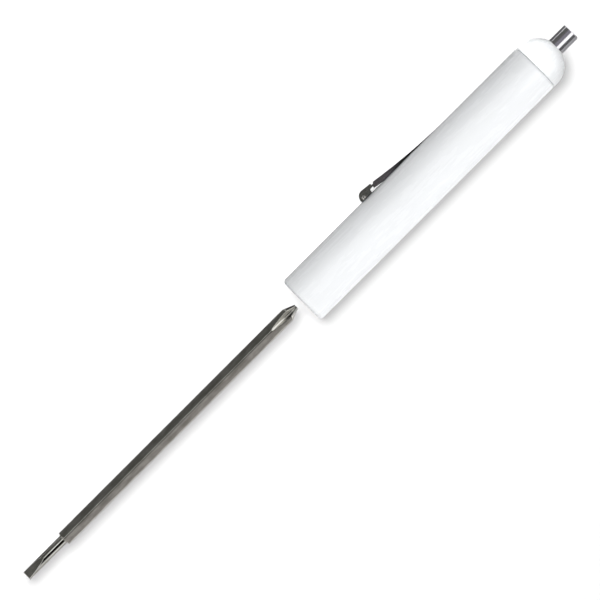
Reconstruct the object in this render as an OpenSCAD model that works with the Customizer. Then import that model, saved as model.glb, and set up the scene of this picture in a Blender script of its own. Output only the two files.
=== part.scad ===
// Pocket screwdriver: white pen-shaped handle with a steel pocket clip, a magnet in its domed end,
// and one double-ended hexagon blade, drawn clear of the handle and in line with it.
// The tool lies on its side. X runs along its axis, towards the magnet. Z is up. The clip points to +Y.
// The origin is on the axis, at the mouth of the nose.

/* [Barrel] */
// Outer diameter of the handle
barrel_d = 12.7; // [11.5:0.1:15]
// Length of the moulded barrel, from the nose to the seam
barrel_len = 77.5; // [65:0.5:100]
// Wall thickness of the barrel
barrel_wall = 1.5; // [1.2:0.1:1.8]
// Rounding of the nose edge
nose_round = 1.0; // [0.4:0.1:1.2]
// Thickness of the nose wall
nose_wall = 2; // [1.5:0.1:3]
// Depth and flare of the lead-in at the mouth
mouth_lead = 0.5; // [0.2:0.1:1]
// Rounding of the barrel's edge at the seam
seam_round = 0.6; // [0.3:0.05:0.8]

/* [Dome cap] */
// Chamfer on the cap's edge at the seam
cap_chamfer = 0.1; // [0.05:0.05:0.3]
// Straight length of the cap before its dome begins
cap_lip = 0.7; // [0.4:0.1:3]
// Length of the spigot that is pressed into the barrel
spigot_len = 7; // [5:0.5:10]
// Wall thickness of the spigot
spigot_wall = 1; // [0.8:0.1:1.1]
// Wall of the boss around the magnet cup
boss_wall = 0.8; // [0.5:0.1:0.9]

/* [Magnet] */
// Outer diameter of the plated magnet cup
cup_d = 4.4; // [3.4:0.1:4.5]
// Length of the cup that shows outside the dome
cup_proud = 5.2; // [3:0.1:10]
// Length of the cup that sits inside the cap
cup_seat = 7.8; // [6.5:0.1:9]
// Wall thickness of the cup
cup_wall = 0.45; // [0.3:0.05:0.8]
// Thickness of the closed end of the cup
cup_floor = 0.8; // [0.5:0.1:2]
// Chamfer on the open end of the cup
cup_chamfer = 0.2; // [0.05:0.05:0.25]

/* [Blade] */
// Width of the hexagon bar across its flats
bar_af = 3.5; // [3:0.1:4]
// Radius of the bar's six corners
bar_round = 0.4; // [0.2:0.05:0.5]
// Overall length of the blade
blade_len = 89.4; // [75:0.1:110]
// Clear gap between the cross tip and the nose, as laid out
blade_gap = 1.85; // [0.5:0.05:10]
// Diameter of the turned neck behind the flat tip
neck_d = 2.35; // [2:0.05:2.8]
// Length of the neck with the flat tip
neck_len = 12.2; // [9:0.1:20]
// Length of the slant from the neck to the corners of the bar
shoulder_len = 0.3; // [0.2:0.05:1]
// Thickness of the flat tip
flat_t = 0.6; // [0.4:0.05:1]
// Length of the flat tip's two slanting faces
wedge_len = 6; // [4:0.1:8]
// Turn of those faces about the axis, from level towards +Y, in degrees
wedge_turn = 18; // [0:1:30]
// Diameter at the end of the cross tip
cross_end_d = 1.25; // [0.8:0.05:1.6]
// Length of the cone at the cross tip
cone_len = 2.35; // [2:0.05:3.5]
// Distance from the end of the cross tip to the start of its flutes
flute_len = 8; // [6:0.1:10]
// Length of the flutes' straight part, next to the tip
flute_straight = 1.6; // [1.2:0.1:3]
// Distance from the axis to a flute's floor where its curved part ends
flute_root = 0.7; // [0.6:0.05:0.9]
// Distance from the axis to a flute's floor at the end of the tip
flute_end_root = 0.5; // [0.4:0.02:0.55]
// Width of a flute's floor
flute_floor = 0.3; // [0.1:0.05:0.4]
// Angle between the two sides of a flute
flute_angle = 80; // [60:1:88]

/* [Blade socket] */
// Depth that the blade goes in, from the mouth
socket_depth = 36; // [25:0.5:45]
// Clearance on each side of the hexagon bar
bar_clear = 0.04; // [0.02:0.01:0.08]
// Clearance at the end of the blade when it is fully in
stop_clear = 0.3; // [0.1:0.1:1]
// Wall of the socket around the hexagon
socket_wall = 1; // [0.8:0.1:1.4]
// Thickness of the socket's two end discs
socket_disc = 2; // [1:0.1:3]
// Thickness of the socket's ribs
socket_rib = 1.2; // [0.8:0.1:2]

/* [Pocket clip] */
// Sheet thickness of the clip
clip_t = 0.35; // [0.3:0.05:0.5]
// Width of the clip's root and its tang
clip_w = 2.2; // [2:0.1:2.8]
// Width of the arm at the notch
arm_w = 3.2; // [2.6:0.1:3.6]
// Width of the clip's end lobe
lobe_w = 3.4; // [3.2:0.1:4]
// Depth of the root's outer face below the crown of the barrel
clip_sink = 0.1; // [0.02:0.01:0.15]
// Gap between the clip's root and the floor of its groove at rest
clip_seat_gap = 0.03; // [0.02:0.01:0.1]
// Depth of the channel's flanges at the notch
flange_depth = 1.26; // [1:0.01:1.5]
// Outer radius of the bends in the tang
tang_bend_r = 0.5; // [0.5:0.05:0.6]
// Distance from the nose to the tip of the clip
lobe_x = 26.35; // [18:0.05:32]
// Length of the lobe, from the tip of the clip to the notch
lobe_len = 4.4; // [3.8:0.05:6]
// Slope of the lobe's outer face in degrees
lobe_slope = 6; // [4:0.5:9]
// Radius of the curl at the tip of the clip
curl_r = 1.6; // [1.3:0.1:1.8]
// Length of the part of the lobe that reaches down to the barrel
foot_len = 3.3; // [2.6:0.05:3.6]
// Gap between the lobe's foot and the barrel at rest
foot_gap = 0.05; // [0.02:0.01:0.2]
// Height of the lobe's flange behind its foot
shoulder_h = 0.8; // [0.75:0.05:1]
// Radius of the inner corner between the foot and that flange
step_round = 0.6; // [0.3:0.05:0.8]
// Height of the arm over the barrel's surface at the notch
arm_rise = 1.61; // [1.5:0.01:2]
// Length of the curved part of the arm
arm_len = 23.2; // [18:0.1:26]
// Width of the notch at the top of the arm
notch_w = 0.75; // [0.4:0.05:1]
// Gap in height between the lobe's flange and the arm's, at the lower end of the notch
notch_gap = 0.1; // [0.05:0.05:0.2]
// Width of the creased link that joins the lobe to the arm
link_w = 1.2; // [1:0.1:1.8]
// Distance from the lobe's top at the notch down to the link's upper face
link_dip = 0.4; // [0.35:0.01:0.42]
// Clearance between the clip and the barrel, and around its tang
tang_clear = 0.1; // [0.08:0.01:0.15]
// Length of the lip that hooks behind the barrel's wall
lip_len = 2.5; // [1.5:0.1:4]
// Gap between that lip and the barrel's wall, which lets the clip open
lip_gap = 0.25; // [0.2:0.05:0.3]
// Radius of the ball that pressed the dimple in each side of the lobe
dimple_r = 0.8; // [0.5:0.1:1]
// Depth of that dimple
dimple_depth = 0.2; // [0.1:0.05:0.2]
// Distance from the tip of the clip to the middle of that dimple
dimple_in = 1; // [0.8:0.05:1.5]

/* [Hidden] */
$fn = 96;

white = "#f3f4f4";
steel = "#6f6e69";
plated = "#c4c4ca";
moulded = "#dedcd4";
dark = "#4b4a4c";

// One overrun for all cuts
over = 1;

// Barrel and bore
barrel_r = barrel_d / 2;
bore_r = barrel_r - barrel_wall;
hex_to_corner = 1 / cos(30);
hex_hole_r = (bar_af / 2 + bar_clear) * hex_to_corner;

// Cap and magnet, along X
dome_x = barrel_len + cap_lip;
cup_r = cup_d / 2;
cup_mouth_x = dome_x + sqrt(barrel_r * barrel_r - cup_r * cup_r);
cup_x0 = cup_mouth_x - cup_seat;
cup_x1 = cup_mouth_x + cup_proud;
spigot_r = bore_r - spigot_wall;
boss_r = cup_r + boss_wall;

// Socket, along X
socket_x1 = socket_depth + stop_clear;

// Blade, along X
cross_x = -blade_gap;
flat_x = cross_x - blade_len;
shoulder_x = flat_x + neck_len;
neck_r = neck_d / 2;
cross_r = cross_end_d / 2;
bar_corner_r = (bar_af / 2 - bar_round) * hex_to_corner + bar_round;
cone_slope = (bar_af / 2 - cross_r) / cone_len;

// Clip: its tang lies in a notch in the barrel's rim, under the cap
tang_x1 = barrel_len - tang_clear;
tang_x0 = tang_x1 - clip_t;
rim_notch_x = tang_x0 - tang_clear;
rim_notch_w = clip_w + 2 * tang_clear;
lip_y = sqrt(bore_r * bore_r - clip_w * clip_w / 4) - lip_gap - clip_t;
root_y = barrel_r - clip_sink;

// Clip: the arm is an arc that leaves the barrel's line at bend_x and ends at the notch
notch_x = lobe_x + lobe_len;
arm_x = notch_x + notch_w;
bend_x = arm_x + arm_len;
arm_y = barrel_r + arm_rise;
arm_drop = arm_y - root_y;
arm_arc_r = (arm_len * arm_len + arm_drop * arm_drop) / (2 * arm_drop);
arm_centre_y = root_y + arm_arc_r;
arm_turn = asin((bend_x - notch_x) / arm_arc_r);
notch_y = arm_centre_y - arm_arc_r * cos(arm_turn);
clip_top = notch_y + lobe_len;

// Groove in the barrel for the clip's root: it ends where the arm's arc has risen out of it
groove_y = root_y - clip_t - clip_seat_gap;
groove_x = bend_x - sqrt(2 * arm_arc_r * (barrel_r - groove_y));

// Clip: the lobe's web runs straight, and curls down at the tip
curl_x = lobe_x + curl_r;
curl_y = notch_y + (notch_x - curl_x) * tan(lobe_slope) - curl_r / cos(lobe_slope);
foot_x = lobe_x + foot_len;
step_y = notch_y - shoulder_h;

// A cylinder along X, from x0 to x1
module rod(x0, x1, r) {
    translate([x0, 0, 0]) rotate([0, 90, 0]) cylinder(h = x1 - x0, r = r);
}

// Turns a profile, drawn as (distance from the axis, place along X), about the X axis
module turned() {
    rotate([0, 90, 0]) rotate_extrude() children();
}

// Rounded hexagon with a corner to the right
module round_hexagon(af, round) {
    centre_r = (af / 2 - round) * hex_to_corner;
    circle(r = centre_r, $fn = 6);
    for (a = [0 : 60 : 300]) rotate(a) {
        translate([centre_r, 0]) circle(r = round);
        rotate(30) translate([0, -centre_r / 2]) square([af / 2, centre_r]);
    }
}

// Hexagonal hole along X with corners to +Z and -Z, and flats to +Y and -Y
module hexagon_hole(x0, x1) {
    translate([x0, 0, 0]) rotate([0, 90, 0]) cylinder(h = x1 - x0, r = hex_hole_r, $fn = 6);
}

module barrel_profile() {
    translate([0, nose_round]) square([barrel_r, barrel_len - nose_round - seam_round]);
    square([barrel_r - nose_round, barrel_len]);
    translate([barrel_r - nose_round, nose_round]) circle(r = nose_round);
    translate([0, barrel_len - seam_round]) square([barrel_r - seam_round, seam_round]);
    translate([barrel_r - seam_round, barrel_len - seam_round]) circle(r = seam_round);
}

// Moulded handle tube, with a hexagonal mouth, and a groove and a notch in its rim for the clip
module barrel() {
    color(white) difference() {
        turned() barrel_profile();
        rod(nose_wall, barrel_len + over, bore_r);
        hexagon_hole(-over, nose_wall + over);
        turned() polygon([
            [0, -over],
            [hex_hole_r + mouth_lead + over, -over],
            [hex_hole_r, mouth_lead],
            [0, mouth_lead]
        ]);
        translate([groove_x, groove_y, -rim_notch_w / 2])
            cube([barrel_len - groove_x + over, barrel_r, rim_notch_w]);
        translate([rim_notch_x, 0, -rim_notch_w / 2])
            cube([barrel_len - rim_notch_x + over, barrel_r + over, rim_notch_w]);
    }
}

module dome_profile() {
    polygon([
        [0, barrel_len],
        [barrel_r - cap_chamfer, barrel_len],
        [barrel_r, barrel_len + cap_chamfer],
        [barrel_r, dome_x],
        [0, dome_x]
    ]);
    intersection() {
        translate([0, dome_x]) circle(r = barrel_r);
        translate([0, dome_x]) square([barrel_r, barrel_r]);
    }
}

// Domed end cap, with a slotted spigot in the barrel and a blind hole for the magnet cup
module dome_cap() {
    color(white) difference() {
        union() {
            turned() dome_profile();
            rod(cup_x0 - boss_wall, barrel_len + cap_lip / 2, boss_r);
            difference() {
                rod(barrel_len - spigot_len, barrel_len + cap_lip / 2, bore_r);
                rod(barrel_len - spigot_len - over, barrel_len, spigot_r);
                translate([barrel_len - spigot_len - over, (spigot_r + boss_r) / 2, -rim_notch_w / 2])
                    cube([spigot_len + over, bore_r, rim_notch_w]);
            }
        }
        rod(cup_x0, dome_x + barrel_r + over, cup_r);
    }
}

// Plated steel cup that stands out of the dome
module magnet_cup() {
    color(plated) difference() {
        turned() polygon([
            [0, cup_x0],
            [cup_r, cup_x0],
            [cup_r, cup_x1 - cup_chamfer],
            [cup_r - cup_chamfer, cup_x1],
            [0, cup_x1]
        ]);
        rod(cup_x0 + cup_floor, cup_x1 + over, cup_r - cup_wall);
    }
}

// Magnet in the cup, flush with its mouth
module magnet() {
    color(dark) rod(cup_x0 + cup_floor, cup_x1, cup_r - cup_wall);
}

// Ribbed insert behind the nose that holds the hexagon bar
module blade_socket() {
    color(moulded) difference() {
        union() {
            rod(nose_wall, nose_wall + socket_disc, bore_r);
            rod(socket_x1, socket_x1 + socket_disc, bore_r);
            rod(nose_wall, socket_x1 + socket_disc, hex_hole_r + socket_wall);
            intersection() {
                rod(nose_wall, socket_x1 + socket_disc, bore_r);
                for (a = [0, 90]) rotate([a, 0, 0])
                    translate([nose_wall, -barrel_r, -socket_rib / 2])
                        cube([socket_x1 - nose_wall + socket_disc, barrel_d, socket_rib]);
            }
        }
        hexagon_hole(nose_wall - over, socket_x1);
    }
}

// Hexagon bar with its slanting shoulder at one end and its cone at the other
module blade_bar() {
    cone_x = cross_x - (bar_corner_r + over - cross_r) / cone_slope;
    shoulder_slope = (bar_corner_r - neck_r) / shoulder_len;
    intersection() {
        translate([shoulder_x, 0, 0]) rotate([0, 90, 0])
            linear_extrude(cross_x - shoulder_x) round_hexagon(bar_af, bar_round);
        turned() polygon([
            [0, shoulder_x - neck_r / shoulder_slope],
            [bar_corner_r + over, shoulder_x + shoulder_len + over / shoulder_slope],
            [bar_corner_r + over, cone_x],
            [cross_r - over * cone_slope, cross_x + over],
            [0, cross_x + over]
        ]);
    }
}

// One of the two slanting cuts that leave the flat tip
module wedge_cut() {
    slope = atan((neck_r - flat_t / 2) / wedge_len);
    translate([flat_x, flat_t / 2, -neck_d]) rotate([0, 0, slope]) translate([-over, 0, 0])
        cube([wedge_len + 2 * over, neck_d, 2 * neck_d]);
}

// One flute of the cross tip: a wheel's run-out, and a straight part down to the end
module flute() {
    depth = bar_corner_r - flute_root;
    run = flute_len - flute_straight;
    wheel_r = (run * run + depth * depth) / (2 * depth);
    rim = 2 * depth;
    floor_w = flute_floor / 2;
    rim_w = floor_w + rim * tan(flute_angle / 2);
    slope = atan((flute_root - flute_end_root) / flute_straight);
    translate([cross_x - flute_straight, flute_root, 0]) {
        translate([0, wheel_r, 0]) rotate_extrude()
            polygon([
                [wheel_r, -floor_w],
                [wheel_r, floor_w],
                [wheel_r - rim, rim_w],
                [wheel_r - rim, -rim_w]
            ]);
        rotate([0, 0, -slope]) rotate([90, 0, 90]) linear_extrude(flute_straight + over)
            polygon([[0, -floor_w], [0, floor_w], [rim, rim_w], [rim, -rim_w]]);
    }
}

// Double-ended blade: a flat tip on a turned neck, a hexagon bar and a cross tip
module blade() {
    color(steel) difference() {
        union() {
            rod(flat_x, shoulder_x + bar_af, neck_r);
            blade_bar();
        }
        for (a = [90, 270]) rotate([a - wedge_turn, 0, 0]) wedge_cut();
        for (a = [0 : 90 : 270]) rotate([a, 0, 0]) flute();
    }
}

// Everything in a side view of the clip between two places along X, and above a height
module side_window(x0, x1, y0) {
    translate([x0, y0]) square([x1 - x0, clip_top - y0]);
}

// Side view of the arm's arc: the band between two depths below its outer face
module arm_band(x0, y0, depth0, depth1) {
    intersection() {
        translate([bend_x, arm_centre_y]) difference() {
            circle(r = arm_arc_r + depth1, $fn = 1440);
            circle(r = arm_arc_r + depth0, $fn = 1440);
        }
        side_window(x0, bend_x, y0);
    }
}

// The arm seen from above, which narrows until it enters its groove, or the same drawn in by the
// sheet's thickness
module arm_plan(inset) {
    translate([0, clip_top, 0]) rotate([90, 0, 0]) linear_extrude(clip_top) polygon([
        [notch_x - clip_t, inset - arm_w / 2],
        [notch_x, inset - arm_w / 2],
        [groove_x, inset - clip_w / 2],
        [tang_x1, inset - clip_w / 2],
        [tang_x1, clip_w / 2 - inset],
        [groove_x, clip_w / 2 - inset],
        [notch_x, arm_w / 2 - inset],
        [notch_x - clip_t, arm_w / 2 - inset]
    ]);
}

// Side view of the lobe inside the sheet's outer face, or a sheet's thickness further in
module lobe_side(inset) {
    r = curl_r - inset;
    difference() {
        union() {
            translate([curl_x, curl_y]) circle(r = r);
            polygon([
                [lobe_x + inset, 0],
                [lobe_x + inset, curl_y],
                [curl_x + r * sin(lobe_slope), curl_y + r * cos(lobe_slope)],
                [notch_x - inset * sin(lobe_slope), notch_y - inset * cos(lobe_slope)],
                [notch_x + inset, notch_y - inset / cos(lobe_slope) - inset * tan(lobe_slope)],
                [notch_x + inset, 0]
            ]);
        }
        square([notch_x + lobe_len, inset > 0 ? barrel_r - clip_t : barrel_r + foot_gap]);
    }
}

// What the lobe's flange lacks behind its foot, with a round inner corner
module lobe_step() {
    translate([foot_x + step_round, 0]) square([lobe_len, step_y]);
    translate([foot_x, 0]) square([lobe_len, step_y - step_round]);
    translate([foot_x + step_round, step_y - step_round]) circle(r = step_round);
}

// The lobe: a web that curls down to the barrel, and flanges of the same sheet
module clip_lobe() {
    difference() {
        linear_extrude(lobe_w, center = true) difference() {
            lobe_side(0);
            lobe_step();
        }
        linear_extrude(lobe_w - 2 * clip_t, center = true) lobe_side(clip_t);
        for (s = [-1, 1])
            translate([lobe_x + dimple_in, curl_y, s * (lobe_w / 2 + dimple_r - dimple_depth)])
                sphere(r = dimple_r);
    }
}

// The arm: a channel whose flanges run out where it comes down to the barrel
module clip_arm() {
    difference() {
        intersection() {
            linear_extrude(arm_w, center = true) {
                arm_band(notch_x - clip_t, root_y - clip_t, 0, clip_t);
                arm_band(notch_x, barrel_r, 0, flange_depth);
            }
            arm_plan(0);
        }
        intersection() {
            linear_extrude(arm_w, center = true)
                arm_band(notch_x - over, barrel_r - over, clip_t, flange_depth + over);
            arm_plan(clip_t);
        }
    }
    translate([bend_x - clip_t, root_y - clip_t, -clip_w / 2])
        cube([tang_x1 - tang_bend_r - bend_x + clip_t, clip_t, clip_w]);
}

// A quarter bend of the strip in side view, from angle a onwards
module tang_bend(x, y, a) {
    translate([x, y]) rotate(a) intersection() {
        difference() {
            circle(r = tang_bend_r);
            circle(r = tang_bend_r - clip_t);
        }
        square([tang_bend_r, tang_bend_r]);
    }
}

// The tang goes in through the rim's notch, and its lip hooks behind the barrel's wall
module clip_tang() {
    linear_extrude(clip_w, center = true) {
        tang_bend(tang_x1 - tang_bend_r, root_y - tang_bend_r, 0);
        translate([tang_x0, lip_y + tang_bend_r])
            square([clip_t, root_y - lip_y - 2 * tang_bend_r]);
        tang_bend(tang_x1 - tang_bend_r, lip_y + tang_bend_r, 270);
        translate([tang_x1 - lip_len, lip_y]) square([lip_len - tang_bend_r, clip_t]);
    }
}

// The notch between them: a V whose lobe side is upright and whose arm side slants
module clip_notch() {
    foot_y = step_y - notch_gap;
    slant = notch_w / (arm_y - foot_y);
    linear_extrude(lobe_w, center = true) polygon([
        [notch_x, foot_y],
        [notch_x, clip_top],
        [arm_x + slant * (clip_top - arm_y), clip_top]
    ]);
}

// The creased link across the notch, which turns down behind both flanges and back up
module clip_link() {
    y1 = notch_y - link_dip;
    y0 = y1 - clip_t;
    linear_extrude(link_w, center = true) polygon([
        [notch_x - clip_t, y0],
        [arm_x + clip_t, y0],
        [arm_x + clip_t, arm_y - clip_t / 2],
        [arm_x, arm_y - clip_t / 2],
        [arm_x, y1],
        [notch_x, y1],
        [notch_x, notch_y - clip_t / 2],
        [notch_x - clip_t, notch_y - clip_t / 2]
    ]);
}

// Pressed spring-steel pocket clip
module pocket_clip() {
    color(steel) {
        difference() {
            union() {
                clip_arm();
                clip_lobe();
            }
            clip_notch();
        }
        clip_link();
        clip_tang();
    }
}

barrel();
dome_cap();
magnet_cup();
magnet();
blade_socket();
blade();
pocket_clip();
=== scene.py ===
"""Pocket screwdriver: finishes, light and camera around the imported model.

Metres. X runs along the tool's axis towards the magnet, Z is up and the clip points to +Y.
A polar angle goes from the horizon on the -Y side (0) over the top (90) to the one on the +Y side (180).
"""

import math

import bpy
from mathutils import Matrix, Vector


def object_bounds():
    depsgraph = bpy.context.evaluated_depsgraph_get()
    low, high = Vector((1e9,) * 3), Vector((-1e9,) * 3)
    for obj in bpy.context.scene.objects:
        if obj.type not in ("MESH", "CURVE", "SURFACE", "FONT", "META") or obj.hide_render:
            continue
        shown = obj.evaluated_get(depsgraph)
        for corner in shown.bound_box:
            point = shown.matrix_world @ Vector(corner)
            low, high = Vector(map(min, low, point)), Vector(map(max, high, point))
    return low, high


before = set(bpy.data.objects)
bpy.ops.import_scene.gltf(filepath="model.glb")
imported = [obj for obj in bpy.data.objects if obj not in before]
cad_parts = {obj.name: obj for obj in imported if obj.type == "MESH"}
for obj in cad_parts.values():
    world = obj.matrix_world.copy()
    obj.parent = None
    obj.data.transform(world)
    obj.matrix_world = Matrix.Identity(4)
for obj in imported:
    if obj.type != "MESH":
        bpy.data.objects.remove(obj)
cad_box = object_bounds()

MM = 0.001

# Camera: almost straight above, with the tool running to the upper right and the clip on its upper side
IMAGE_SIDE_PX = 600
MM_PER_PX = 0.2345
FOCAL_PX = 5590
SENSOR_MM = 36
VIEW_ELEVATION = math.radians(88)
TOOL_ROLL = math.radians(45)
SIGHT_START = 0.01
SIGHT_END = 50
# Where the middle of the picture lies: along the axis, and across it on the picture
AIM_ALONG = -0.14 * MM
AIM_ACROSS = 0.46 * MM

# The blade: where the cross tip's flutes and the flat tip's faces start, and how far its edges are rounded
CROSS_TIP_X = -10.6 * MM
FLAT_TIP_X = -84 * MM
EDGE_RADIUS = 0.1 * MM
TIP_EDGE_RADIUS = 0.28 * MM
# How far in from the flat tip's edges the worn brightening and painted edge highlight reach
WEAR_AND_HIGHLIGHT_RADIUS = 0.2 * MM

# The clip's free end, and its length
LOBE_X = 26.35 * MM
CLIP_REACH = 52 * MM

# The barrel's end, and how far the painted shade at its seam reaches
SEAM_X = 77.5 * MM
SEAM_SHADE_WIDTH = 0.9 * MM

# The floor: just under the tool, matt and grey near it, and glowing fully white beyond GLOW_END
FLOOR_GAP = 0.02 * MM
FLOOR_Z = cad_box[0].z - FLOOR_GAP
FLOOR_REACH = 4.0
FLOOR_LEVEL = 0.19
GLOW_START = 0.11
GLOW_END = 0.4

# Light: the even part of it, and how far off the lamps are
AMBIENT = 0.25
LAMP_DISTANCE = 0.8

# The cards that lie on the floor beside the tool
CARD_LIFT = 0.01 * MM
CARD_REACH = 80 * MM
CARD_GAP = 1 * MM
BLADE_CARD_START_X = -110 * MM
BLADE_CARD_END_X = -3 * MM
BARREL_CARD_END_X = 77 * MM
STUB_CARD_START_X = 84.5 * MM
STUB_FAR_CARD_END_X = 92 * MM
STUB_FAR_CARD_REACH = 90 * MM
STUB_NEAR_CARD_END_X = 110 * MM

# The cards that stand round the magnet's stub
STUB_X = 90.5 * MM
STUB_CARD_HALF_LENGTH = 15 * MM
STUB_CARD_DISTANCE = 58 * MM
STUB_WHITE_CARD_DISTANCE = 60 * MM

# The card that stands between the cross tip and the nose
NOSE_CARD_CENTRE = (-0.9 * MM, 2.8 * MM, 0)
NOSE_CARD_HALF_WIDTH = 3.6 * MM
NOSE_CARD_HALF_HEIGHT = 6 * MM


def add_camera():
    """A long lens at the photograph's angle, rolled so that the tool runs from corner to corner."""
    toward = Vector((0, -math.cos(VIEW_ELEVATION), math.sin(VIEW_ELEVATION)))
    across = Vector((0, math.sin(VIEW_ELEVATION), math.cos(VIEW_ELEVATION)))
    along = Vector((1, 0, 0))
    right = math.cos(TOOL_ROLL) * along - math.sin(TOOL_ROLL) * across
    up = math.sin(TOOL_ROLL) * along + math.cos(TOOL_ROLL) * across
    aim = AIM_ALONG * along + AIM_ACROSS * across
    distance = FOCAL_PX * MM_PER_PX * MM
    data = bpy.data.cameras.new("camera")
    data.sensor_width = SENSOR_MM
    data.lens = FOCAL_PX * SENSOR_MM / IMAGE_SIDE_PX
    data.clip_start = SIGHT_START
    data.clip_end = SIGHT_END
    camera = bpy.data.objects.new("camera", data)
    turn = Matrix((right, up, toward)).transposed().to_4x4()
    camera.matrix_world = Matrix.Translation(aim + distance * toward) @ turn
    bpy.context.scene.collection.objects.link(camera)
    bpy.context.scene.camera = camera


class Nodes:
    """Short ways to add and join the nodes of one material or world."""

    def __init__(self, tree):
        self.tree = tree
        tree.nodes.clear()

    def add(self, kind, output=0, **inputs):
        """A node with its properties and inputs set or linked. Returns one of its outputs."""
        node = self.tree.nodes.new(kind)
        for name, value in inputs.items():
            self.set(node, name, value)
        return node.outputs[output]

    def set(self, node, name, value):
        """Sets a property by its name, or an input by its name or, as i0, i1 and so on, by its place."""
        if not isinstance(value, bpy.types.NodeSocket) and hasattr(node, name):
            setattr(node, name, value)
            return
        by_place = name[0] == "i" and name[1:].isdigit()
        socket = node.inputs[int(name[1:]) if by_place else name.replace("_", " ")]
        if isinstance(value, bpy.types.NodeSocket):
            self.tree.links.new(value, socket)
        else:
            socket.default_value = value

    def math(self, operation, a, b=0.0, clamp=False):
        return self.add("ShaderNodeMath", operation=operation, use_clamp=clamp, i0=a, i1=b)

    def between(self, share, low, high):
        """A number that goes from low to high as share goes from 0 to 1."""
        return self.math("ADD", self.math("MULTIPLY", share, high - low), low)

    def share(self, value, start, length):
        """How far a value has come along a stretch, from 0 to 1."""
        return self.math("DIVIDE", self.math("SUBTRACT", value, start), length, clamp=True)

    def place(self):
        """The surface's place in the model's frame."""
        return self.add("ShaderNodeTexCoord", 3)

    def parts(self, vector):
        """A vector's x, y and z."""
        return self.add("ShaderNodeSeparateXYZ", i0=vector).node.outputs

    def light_path(self):
        """The tests that tell what kind of ray sees the surface, by their names."""
        return self.add("ShaderNodeLightPath").node.outputs

    def in_gloss(self, path):
        """1 where the surface is seen in a reflection or through glass."""
        return self.math("ADD", path["Is Glossy Ray"], path["Is Transmission Ray"], clamp=True)

    def noise(self, place, scale, detail=4.0, roughness=0.5):
        """Noise with one scale, or with one each along x, y and z."""
        if isinstance(scale, tuple):
            place = self.add("ShaderNodeMapping", Vector=place, Scale=scale)
            scale = 1.0
        return self.add("ShaderNodeTexNoise", Vector=place, Scale=scale, Detail=detail, Roughness=roughness)

    def steps(self, value, *stops):
        """A curve through (place, level) stops, both from 0 to 1, as a grey ramp."""
        return self.colours(value, *((at, (level, level, level)) for at, level in stops))

    def colours(self, value, *stops):
        """A ramp through (place, colour) stops, with the places from 0 to 1."""
        ramp = self.add("ShaderNodeValToRGB", i0=value)
        elements = ramp.node.color_ramp.elements
        while len(elements) < len(stops):
            elements.new(0.5)
        for element, (at, colour) in zip(elements, stops):
            element.position = at
            element.color = (*colour, 1)
        return ramp

    def mix(self, share, a, b):
        """Colour a where share is 0 and colour b where it is 1."""
        a, b = [(*colour, 1) if isinstance(colour, tuple) else colour for colour in (a, b)]
        return self.add("ShaderNodeMix", 2, data_type="RGBA", i0=share, i6=a, i7=b)

    def bump(self, height, distance, strength=1.0, normal=None):
        extra = {"Normal": normal} if normal else {}
        return self.add("ShaderNodeBump", Height=height, Distance=distance, Strength=strength, **extra)

    def rounded(self, radius):
        """The surface's normal with its sharp edges rounded to a radius."""
        return self.add("ShaderNodeBevel", samples=8, Radius=radius)

    def edge(self, rounded, contrast=12.0):
        """1 close to a sharp edge, where the rounded normal leaves the true one, and 0 on the faces."""
        true = self.add("ShaderNodeNewGeometry", 1)
        same = self.add("ShaderNodeVectorMath", 1, operation="DOT_PRODUCT", i0=rounded, i1=true)
        return self.math("MULTIPLY", self.math("SUBTRACT", 1.0, same), contrast, clamp=True)

    def principled(self, **inputs):
        """The finished surface."""
        shader = self.add("ShaderNodeBsdfPrincipled", **inputs)
        output = self.tree.nodes.new("ShaderNodeOutputMaterial")
        self.tree.links.new(shader, output.inputs["Surface"])


def new_material(name):
    """A new material, and its nodes, which are still to be added."""
    material = bpy.data.materials.new(name)
    material.use_nodes = True
    return material, Nodes(material.node_tree)


def white_plastic(name, seam_shade):
    """Moulded white plastic with faint flow marks and fine scuffs. Its seam gets painted shade, as dark as
    the second argument says.
    """
    material, n = new_material(name)
    place = n.place()
    flow = n.noise(place, (40, 160, 160), detail=3.0)
    grain = n.noise(place, 6000, detail=2.0)
    scuffs = n.noise(place, (120, 900, 900), detail=6.0, roughness=0.65)
    colour = n.mix(n.steps(flow, (0.3, 0.0), (0.7, 1.0)), (0.85, 0.865, 0.88), (0.885, 0.9, 0.915))
    # Painted shade: the colour darkens towards the barrel's end, where the rounded seam falls into shade
    seam_shade_share = n.share(n.parts(place)["X"], SEAM_X - SEAM_SHADE_WIDTH, SEAM_SHADE_WIDTH)
    colour = n.mix(n.math("MULTIPLY", n.math("MULTIPLY", seam_shade_share, seam_shade_share), seam_shade), colour, (0.3, 0.31, 0.33))
    rough = n.between(n.steps(scuffs, (0.45, 0.0), (0.75, 1.0)), 0.24, 0.36)
    normal = n.bump(grain, 0.002 * MM, 0.4, n.bump(flow, 0.012 * MM, 0.4))
    n.principled(Base_Color=colour, Roughness=rough, IOR=1.5, Normal=normal)
    return material


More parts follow.
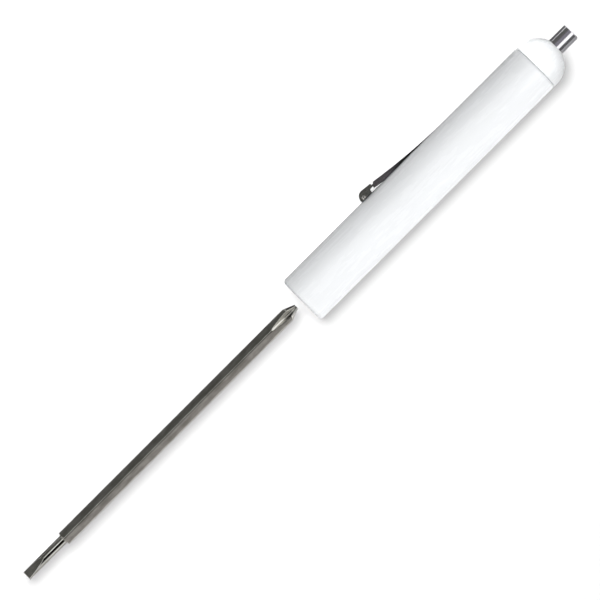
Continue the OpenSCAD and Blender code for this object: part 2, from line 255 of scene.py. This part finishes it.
def blade_steel():
    """Cloudy plated steel with fine lines along X and soft edges; at the flat tip the edges are worn bright,
    with a painted edge highlight.
    """
    material, n = new_material("blade_steel")
    place = n.place()
    x = n.parts(place)["X"]
    lines = n.noise(place, (30, 5000, 5000), detail=5.0, roughness=0.7)
    cloud = n.noise(place, (260, 700, 700), detail=5.0, roughness=0.6)
    flat = n.math("LESS_THAN", x, FLAT_TIP_X)
    tips = n.math("MAXIMUM", n.math("GREATER_THAN", x, CROSS_TIP_X), flat)
    # Edges at the flat tip: worn bright steel and a painted edge highlight, near white and rougher
    wear_and_edge_highlight = n.math("MULTIPLY", n.edge(n.rounded(WEAR_AND_HIGHLIGHT_RADIUS)), flat)
    tint = n.mix(n.steps(cloud, (0.38, 0.0), (0.64, 1.0)), (0.6, 0.59, 0.56), (0.44, 0.43, 0.4))
    tint = n.mix(wear_and_edge_highlight, tint, (0.95, 0.94, 0.92))
    rough = n.between(n.steps(lines, (0.3, 0.0), (0.7, 1.0)), 0.08, 0.16)
    rough = n.math("ADD", n.math("MULTIPLY", wear_and_edge_highlight, 0.4), rough)
    normal = n.bump(lines, 0.003 * MM, 0.5, n.rounded(n.between(tips, EDGE_RADIUS, TIP_EDGE_RADIUS)))
    n.principled(Base_Color=tint, Metallic=1.0, Roughness=rough, Normal=normal)
    return material


def clip_steel():
    """Plated spring steel. Painted reflection makes it olive at the lobe and faintly purple on the arm;
    painted shade makes it black near the barrel.
    """
    material, n = new_material("clip_steel")
    place = n.place()
    lines = n.noise(place, (30, 3500, 3500), detail=5.0, roughness=0.7)
    cloud = n.noise(place, (300, 700, 700), detail=5.0, roughness=0.6)
    olive, black = (0.4, 0.395, 0.37), (0.08, 0.08, 0.08)
    # Painted reflection and shade along X: olive and purple reflection tones, and black where the arm lies
    # in shade by the barrel
    reflection_and_shade_tones = n.colours(
        n.share(n.parts(place)["X"], LOBE_X, CLIP_REACH),
        (0.0, olive),
        (0.08, olive),
        (0.1, (0.42, 0.385, 0.415)),
        (0.18, (0.36, 0.33, 0.36)),
        (0.25, black),
        (0.36, black),
        (0.5, (0.3, 0.29, 0.31)),
        (1.0, (0.42, 0.41, 0.42)),
    )
    tint = n.mix(n.steps(cloud, (0.38, 0.0), (0.64, 0.35)), reflection_and_shade_tones, (0.2, 0.19, 0.2))
    rough = n.between(n.steps(lines, (0.3, 0.0), (0.7, 1.0)), 0.08, 0.14)
    n.principled(Base_Color=tint, Metallic=1.0, Roughness=rough, Normal=n.bump(lines, 0.002 * MM, 0.5))
    return material


def plated_cup():
    """Bright plating over fine turning lines round the cup."""
    material, n = new_material("plated_cup")
    rings = n.noise(n.place(), (9000, 60, 60), detail=3.0, roughness=0.6)
    tint = n.mix(n.steps(rings, (0.35, 0.0), (0.7, 1.0)), (0.72, 0.71, 0.74), (0.6, 0.59, 0.63))
    n.principled(Base_Color=tint, Metallic=1.0, Roughness=0.16, Normal=n.bump(rings, 0.004 * MM, 0.6))
    return material


def magnet_alloy():
    """Ground magnet alloy, dull and a little pitted."""
    material, n = new_material("magnet_alloy")
    marks = n.noise(n.place(), (500, 500, 4000), detail=5.0, roughness=0.6)
    tint = n.mix(marks, (0.2, 0.195, 0.2), (0.36, 0.355, 0.36))
    n.principled(Base_Color=tint, Metallic=0.8, Roughness=0.45, Normal=n.bump(marks, 0.01 * MM, 0.6))
    return material


def socket_plastic():
    """Plain moulded plastic, off white."""
    material, n = new_material("socket_plastic")
    grain = n.noise(n.place(), 2500, detail=3.0)
    tint = n.mix(grain, (0.7, 0.69, 0.65), (0.78, 0.77, 0.73))
    n.principled(Base_Color=tint, Roughness=0.5, Normal=n.bump(grain, 0.005 * MM, 0.5))
    return material


def dress(node, material):
    """Gives a CAD node its finish."""
    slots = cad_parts[node].data.materials
    slots.clear()
    slots.append(material)


def polar_direction(n, direction):
    """A direction's polar angle in half turns, and how far it leans to +X."""
    parts = n.parts(direction)
    angle = n.math("ARCTAN2", parts["Z"], n.math("MULTIPLY", parts["Y"], -1.0))
    return n.math("DIVIDE", angle, math.pi), parts["X"]


def add_world():
    """White to the camera, an even light on the surfaces, and a studio's lights and darks in the gloss."""
    world = bpy.data.worlds.new("world")
    world.use_nodes = True
    bpy.context.scene.world = world
    n = Nodes(world.node_tree)
    angle, lean = polar_direction(n, n.add("ShaderNodeTexCoord"))
    black, grey, band = (0.01, 0.01, 0.01), (0.14, 0.14, 0.138), (2.4, 2.4, 2.36)
    # By the polar angle, in half turns, with a bright band just past the top
    studio = n.colours(
        angle,
        (0.0, (1.0, 1.0, 1.0)),
        (0.13, (0.9, 0.9, 0.9)),
        (0.17, (0.42, 0.4, 0.39)),
        (0.2, (0.28, 0.265, 0.255)),
        (0.22, black),
        (0.47, black),
        (0.495, grey),
        (0.53, grey),
        (0.545, band),
        (0.58, band),
        (0.6, (0.14, 0.14, 0.134)),
        (1.0, (0.12, 0.12, 0.114)),
    )
    # Paler towards both ends of the tool
    tail = n.steps(lean, (0.2, 0.0), (0.36, 1.0), (0.74, 1.0), (0.82, 0.0))
    tip = n.steps(n.math("MULTIPLY", lean, -1.0), (0.36, 0.0), (0.5, 1.0))
    studio = n.mix(tail, studio, (1.5, 1.5, 1.48))
    studio = n.mix(tip, studio, (0.95, 0.95, 0.94))
    path = n.light_path()
    soft = n.mix(n.in_gloss(path), (AMBIENT, AMBIENT, AMBIENT), studio)
    colour = n.mix(path["Is Camera Ray"], soft, (1.0, 1.0, 1.0))
    background = n.add("ShaderNodeBackground", Color=colour, Strength=1.0)
    output = n.tree.nodes.new("ShaderNodeOutputWorld")
    n.tree.links.new(background, output.inputs["Surface"])


def add_sheet(name, centre, along, across, material):
    """A flat stage piece that reaches from its centre by along and by across, to both sides."""
    middle, a, b = Vector(centre), Vector(along), Vector(across)
    mesh = bpy.data.meshes.new(name)
    mesh.from_pydata([middle - a - b, middle + a - b, middle + a + b, middle - a + b], [], [(0, 1, 2, 3)])
    mesh.materials.append(material)
    sheet = bpy.data.objects.new(name, mesh)
    bpy.context.scene.collection.objects.link(sheet)
    return sheet


def add_floor():
    """A matt grey floor that its lamps light to white, but for the tool's shadow. Far off it glows white."""
    material, n = new_material("floor")
    path = n.light_path()
    seen = n.math("ADD", path["Is Camera Ray"], n.in_gloss(path), clamp=True)
    distance = n.add("ShaderNodeVectorMath", 1, operation="LENGTH", i0=n.place())
    far = n.steps(distance, (GLOW_START, 0.0), (GLOW_END, 1.0))
    n.principled(
        Base_Color=(FLOOR_LEVEL, FLOOR_LEVEL, FLOOR_LEVEL, 1),
        Roughness=1.0,
        Specular_IOR_Level=0.0,
        Emission_Color=(1, 1, 1, 1),
        Emission_Strength=n.math("MULTIPLY", seen, far),
    )
    return add_sheet("floor", (0, 0, FLOOR_Z), (FLOOR_REACH, 0, 0), (0, FLOOR_REACH, 0), material)


def add_card(name, centre, along, across, level):
    """A plain card that shows only in the gloss, as dark and pale things round a tool do in a photograph."""
    material, n = new_material(name)
    n.principled(
        Base_Color=(0, 0, 0, 1),
        Specular_IOR_Level=0.0,
        Emission_Color=(*level, 1),
        Emission_Strength=1.0,
    )
    card = add_sheet(name, centre, along, across, material)
    card.visible_camera = False
    card.visible_diffuse = False
    card.visible_transmission = False
    card.visible_shadow = False


def add_floor_card(name, x0, x1, y0, y1, level):
    """A card that lies just above the floor."""
    centre = ((x0 + x1) / 2, (y0 + y1) / 2, FLOOR_Z + CARD_LIFT)
    add_card(name, centre, ((x1 - x0) / 2, 0, 0), (0, (y1 - y0) / 2, 0), level)


def add_stub_card(name, low, high, distance, level):
    """A card beside the magnet's stub that covers the polar angles from low to high, in degrees."""
    middle, half = math.radians((low + high) / 2), math.radians((high - low) / 2)
    centre = (STUB_X, -distance * math.cos(middle), distance * math.sin(middle))
    across = distance * math.tan(half) * Vector((0, math.sin(middle), math.cos(middle)))
    add_card(name, centre, (STUB_CARD_HALF_LENGTH, 0, 0), across, level)


def add_nose_card(level):
    """A card that faces the nose from its front, on the clip's side."""
    width, height = (0, NOSE_CARD_HALF_WIDTH, 0), (0, 0, NOSE_CARD_HALF_HEIGHT)
    add_card("nose_card", NOSE_CARD_CENTRE, width, height, level)


def add_cards():
    """What the blade, the barrel and the magnet's stub reflect on their flanks."""
    dark, mid, grey = (0.13, 0.13, 0.13), (0.55, 0.54, 0.53), (0.4, 0.4, 0.4)
    white, lilac = (1.6, 1.6, 1.6), (0.27, 0.26, 0.29)
    add_floor_card("far_card", BLADE_CARD_START_X, BARREL_CARD_END_X, CARD_GAP, CARD_REACH, dark)
    add_floor_card("near_card", BLADE_CARD_START_X, BLADE_CARD_END_X, -CARD_REACH, 0, mid)
    add_floor_card("stub_far_card", STUB_CARD_START_X, STUB_FAR_CARD_END_X, 0, STUB_FAR_CARD_REACH, dark)
    add_floor_card("stub_near_card", STUB_CARD_START_X, STUB_NEAR_CARD_END_X, -CARD_REACH, 0, grey)
    add_stub_card("stub_white_card", low=45, high=80, distance=STUB_WHITE_CARD_DISTANCE, level=white)
    add_stub_card("stub_dark_card", low=0, high=42, distance=STUB_CARD_DISTANCE, level=dark)
    add_nose_card((0.08, 0.08, 0.08))
    add_stub_card("stub_top_card", low=81, high=122, distance=STUB_CARD_DISTANCE, level=lilac)


def add_lamp(name, angle, size, power, shadows):
    """A soft rectangular lamp at a polar angle in degrees, turned to the tool. It shows in no reflection."""
    data = bpy.data.lights.new(name, "AREA")
    data.shape = "RECTANGLE"
    data.size, data.size_y = size
    data.energy = power
    data.use_shadow = shadows
    lamp = bpy.data.objects.new(name, data)
    a = math.radians(angle)
    toward = Vector((0, -math.cos(a), math.sin(a)))
    lamp.location = LAMP_DISTANCE * toward
    lamp.rotation_euler = toward.to_track_quat("Z", "Y").to_euler()
    lamp.visible_glossy = False
    lamp.visible_camera = False
    bpy.context.scene.collection.objects.link(lamp)
    return lamp


def collect(name, objects):
    """A new collection of these objects."""
    group = bpy.data.collections.new(name)
    for one in objects:
        group.objects.link(one)
    return group


def light_only(lamp, *objects):
    """The lamp lights these objects and nothing else."""
    lamp.light_linking.receiver_collection = collect(lamp.name + "_lights", objects)


def cast_shadow(lamp, floor, *casters):
    """The lamp lights the floor alone, and only these objects cast its shadow."""
    light_only(lamp, floor)
    lamp.light_linking.blocker_collection = collect(lamp.name + "_casters", casters)


def add_lights(floor):
    """An overhead lamp, a front lamp, the domed cap's own lamps, and those that draw the soft shadows."""
    cap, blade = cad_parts["dome_cap"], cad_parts["blade"]
    others = [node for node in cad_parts.values() if node is not cap]
    handle = [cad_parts[name] for name in ("barrel", "dome_cap", "pocket_clip")]
    add_lamp("overhead", angle=105, size=(1.0, 0.4), power=1.9, shadows=True)
    light_only(add_lamp("front", angle=60, size=(1.0, 0.6), power=5.5, shadows=False), *others)
    light_only(add_lamp("cap", angle=112, size=(1.0, 1.0), power=7.4, shadows=False), cap)
    light_only(add_lamp("cap_fill", angle=40, size=(1.0, 0.8), power=2.4, shadows=False), cap)
    handle_shade = add_lamp("handle_shade", angle=103, size=(0.3, 0.34), power=20, shadows=True)
    blade_shade = add_lamp("blade_shade", angle=101, size=(0.3, 0.3), power=17, shadows=True)
    cast_shadow(handle_shade, floor, *handle)
    cast_shadow(blade_shade, floor, blade)


add_camera()
add_world()
add_lights(add_floor())
add_cards()

dress("barrel", white_plastic("barrel_white", seam_shade=0.5))
dress("dome_cap", white_plastic("cap_white", seam_shade=0.0))
dress("magnet_cup", plated_cup())
dress("magnet", magnet_alloy())
dress("blade_socket", socket_plastic())
dress("blade", blade_steel())
dress("pocket_clip", clip_steel())

bpy.context.scene.view_settings.view_transform = "Standard"
